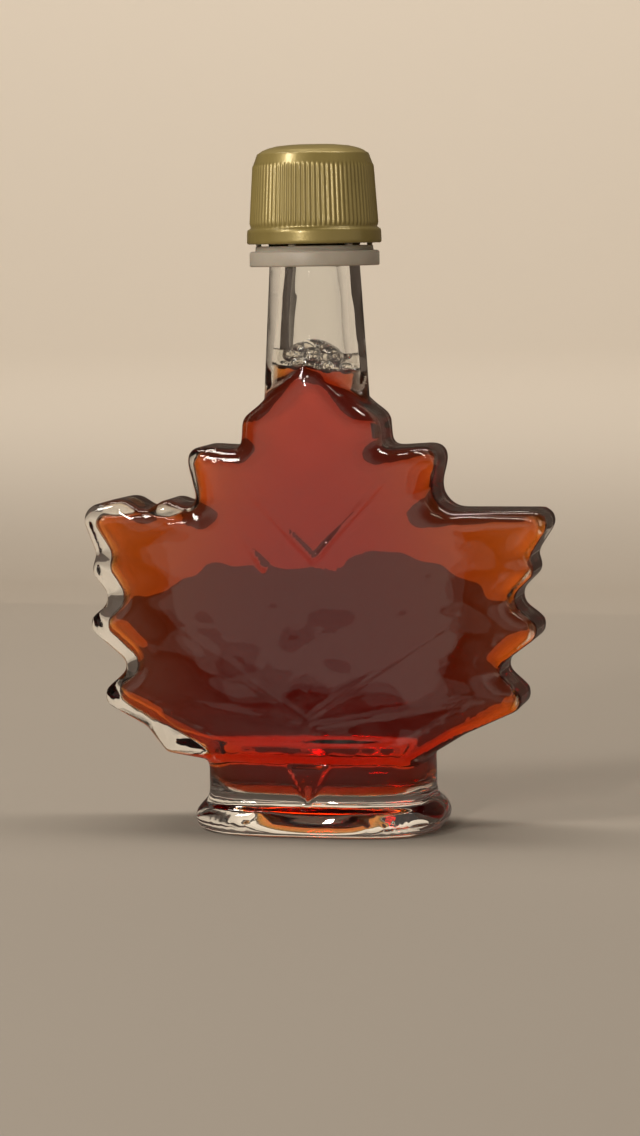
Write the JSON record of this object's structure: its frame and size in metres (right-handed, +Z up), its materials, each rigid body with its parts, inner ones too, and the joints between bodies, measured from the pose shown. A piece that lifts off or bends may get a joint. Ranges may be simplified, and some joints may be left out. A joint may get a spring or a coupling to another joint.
{
  "type": "maple syrup bottle",
  "caption": "Small clear glass bottle shaped like a maple leaf on an oval foot, filled with dark syrup up into its neck, with a ribbed screw cap and a tamper ring.",
  "frame": {"origin": "middle of the foot's underside, on the surface the bottle stands on", "axes": "+Z up through the neck, the leaf's front faces -Y, +X to the right seen from the front"},
  "size_m": [0.0721, 0.026, 0.1046],
  "materials": {
    "glass": "gloss",
    "syrup": "gloss",
    "cap_plastic": "satin",
    "ring_plastic": "satin"
  },
  "bodies": {
    "root": {"bottle": "glass", "syrup": "syrup", "cap": "cap_plastic", "tamper_ring": "ring_plastic"}
  },
  "joints": []
}
